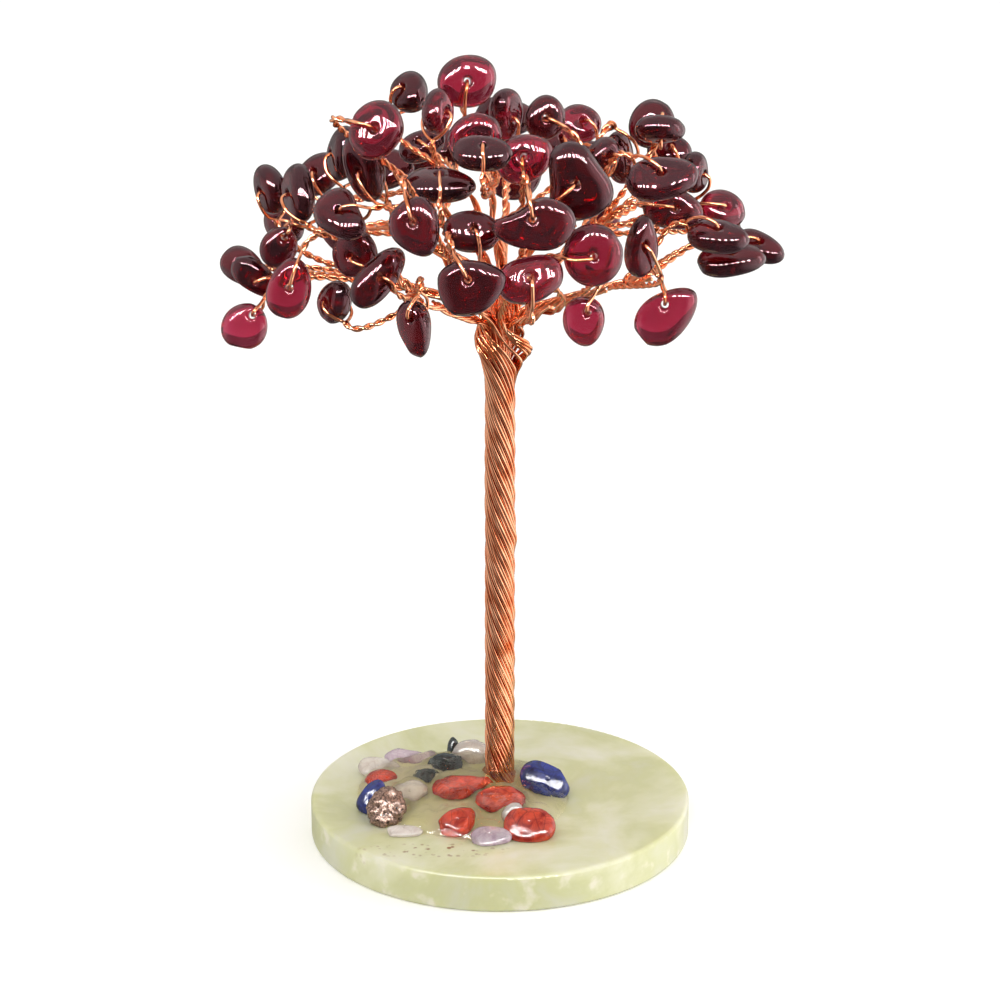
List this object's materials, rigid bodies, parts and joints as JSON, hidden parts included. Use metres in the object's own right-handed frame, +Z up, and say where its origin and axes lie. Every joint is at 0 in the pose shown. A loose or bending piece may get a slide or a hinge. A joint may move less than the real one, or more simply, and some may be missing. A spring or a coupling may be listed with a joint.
{
  "type": "gemstone tree ornament",
  "caption": "Small ornamental tree: drilled garnet chips on looped copper wires, a twisted wire trunk and a round stone base with stone chips set in clear resin.",
  "frame": {"origin": "centre of the round underside of the base", "axes": "+Z up along the trunk, the viewer of the picture stands at -Y, +X is to the viewer's right"},
  "size_m": [0.0716, 0.0663, 0.1039],
  "materials": {
    "garnet": "polished",
    "copper_wire": "polished",
    "base_stone": "polished",
    "clear_resin": "gloss",
    "red_jasper": "polished",
    "lapis": "polished",
    "bronze_stone": "polished",
    "quartz": "polished",
    "amethyst": "polished",
    "tourmaline": "polished"
  },
  "bodies": {
    "root": {"amethyst_chips": "amethyst", "back_left_limb_garnets": "garnet", "back_left_limb_wires": "copper_wire", "back_limb_garnets": "garnet", "back_limb_wires": "copper_wire", "back_right_limb_garnets": "garnet", "back_right_limb_wires": "copper_wire", "base_disc": "base_stone", "far_left_limb_garnets": "garnet", "far_left_limb_wires": "copper_wire", "far_right_limb_garnets": "garnet", "far_right_limb_wires": "copper_wire", "front_left_limb_garnets": "garnet", "front_left_limb_wires": "copper_wire", "front_right_limb_garnets": "garnet", "front_right_limb_wires": "copper_wire", "lapis_chips": "lapis", "left_limb_garnets": "garnet", "left_limb_wires": "copper_wire", "left_low_limb_garnets": "garnet", "left_low_limb_wires": "copper_wire", "pyrite_chip": "bronze_stone", "quartz_chips": "quartz", "red_jasper_chips": "red_jasper", "resin_pool": "clear_resin", "right_limb_garnets": "garnet", "right_limb_wires": "copper_wire", "right_low_limb_garnets": "garnet", "right_low_limb_wires": "copper_wire", "top_left_limb_garnets": "garnet", "top_left_limb_wires": "copper_wire", "top_limb_garnets": "garnet", "top_limb_wires": "copper_wire", "top_right_limb_garnets": "garnet", "top_right_limb_wires": "copper_wire", "tourmaline_shards": "tourmaline", "trunk_straight_wires": "copper_wire", "trunk_twisted_wires": "copper_wire", "upper_left_limb_garnets": "garnet", "upper_left_limb_wires": "copper_wire"},
    "garnet_brow_heart": {"garnet_brow_heart": "garnet"},
    "garnet_flank_drop": {"garnet_flank_drop": "garnet"},
    "garnet_flank_high": {"garnet_flank_high": "garnet"},
    "garnet_fore_bean": {"garnet_fore_bean": "garnet"},
    "garnet_fore_face": {"garnet_fore_face": "garnet"},
    "garnet_heart": {"garnet_heart": "garnet"},
    "garnet_pendant": {"garnet_pendant": "garnet"},
    "garnet_rear_e": {"garnet_rear_e": "garnet"},
    "garnet_rear_i": {"garnet_rear_i": "garnet"},
    "garnet_spear": {"garnet_spear": "garnet"},
    "garnet_tip_face": {"garnet_tip_face": "garnet"},
    "garnet_tip_low": {"garnet_tip_low": "garnet"},
    "garnet_tip_ring": {"garnet_tip_ring": "garnet"}
  },
  "joints": [
    {"name": "garnet_brow_heart_swing", "type": "hinge", "parent": "root", "child": "garnet_brow_heart", "pos_m": [-0.01015, -0.0211, 0.08917], "axis": [-0.1677, -0.9513, 0.2588], "range_deg": [-18, 18]},
    {"name": "garnet_flank_drop_swing", "type": "hinge", "parent": "root", "child": "garnet_flank_drop", "pos_m": [-0.01001, -0.0211, 0.07746], "axis": [-0.5, -0.866, 0], "range_deg": [-18, 18]},
    {"name": "garnet_flank_high_swing", "type": "hinge", "parent": "root", "child": "garnet_flank_high", "pos_m": [-0.01782, -0.0085, 0.08164], "axis": [-0.4226, -0.9063, 0], "range_deg": [-18, 18]},
    {"name": "garnet_fore_bean_swing", "type": "hinge", "parent": "root", "child": "garnet_fore_bean", "pos_m": [0.00385, -0.0232, 0.09016], "axis": [0, -0.9848, 0.1736], "range_deg": [-18, 18]},
    {"name": "garnet_fore_face_swing", "type": "hinge", "parent": "root", "child": "garnet_fore_face", "pos_m": [-0.00367, -0.0274, 0.08392], "axis": [-0.0842, -0.9623, 0.2588], "range_deg": [-18, 18]},
    {"name": "garnet_heart_swing", "type": "hinge", "parent": "root", "child": "garnet_heart", "pos_m": [0.01068, -0.0197, 0.07781], "axis": [-0.173, -0.9811, 0.0872], "range_deg": [-18, 18]},
    {"name": "garnet_pendant_swing", "type": "hinge", "parent": "root", "child": "garnet_pendant", "pos_m": [0.02026, -0.01025, 0.07572], "axis": [-0.0842, -0.9623, 0.2588], "range_deg": [-18, 18]},
    {"name": "garnet_rear_e_swing", "type": "hinge", "parent": "root", "child": "garnet_rear_e", "pos_m": [-0.0217, 0.0272, 0.07488], "axis": [-0.342, -0.9397, 0], "range_deg": [-18, 18]},
    {"name": "garnet_rear_i_swing", "type": "hinge", "parent": "root", "child": "garnet_rear_i", "pos_m": [0.014, 0.0335, 0.07412], "axis": [0.2588, -0.9659, 0], "range_deg": [-18, 18]},
    {"name": "garnet_spear_swing", "type": "hinge", "parent": "root", "child": "garnet_spear", "pos_m": [0.01687, -0.01375, 0.08457], "axis": [0.5, -0.866, 0], "range_deg": [-18, 18]},
    {"name": "garnet_tip_face_swing", "type": "hinge", "parent": "root", "child": "garnet_tip_face", "pos_m": [-0.0259, -0.0078, 0.07735], "axis": [0, -0.9962, 0.0872], "range_deg": [-18, 18]},
    {"name": "garnet_tip_low_swing", "type": "hinge", "parent": "root", "child": "garnet_tip_low", "pos_m": [-0.0309, -0.00325, 0.07214], "axis": [0, -0.9397, 0.342], "range_deg": [-18, 18]},
    {"name": "garnet_tip_ring_swing", "type": "hinge", "parent": "root", "child": "garnet_tip_ring", "pos_m": [-0.02698, -0.0008, 0.08153], "axis": [0.1632, -0.9254, 0.342], "range_deg": [-18, 18]}
  ]
}
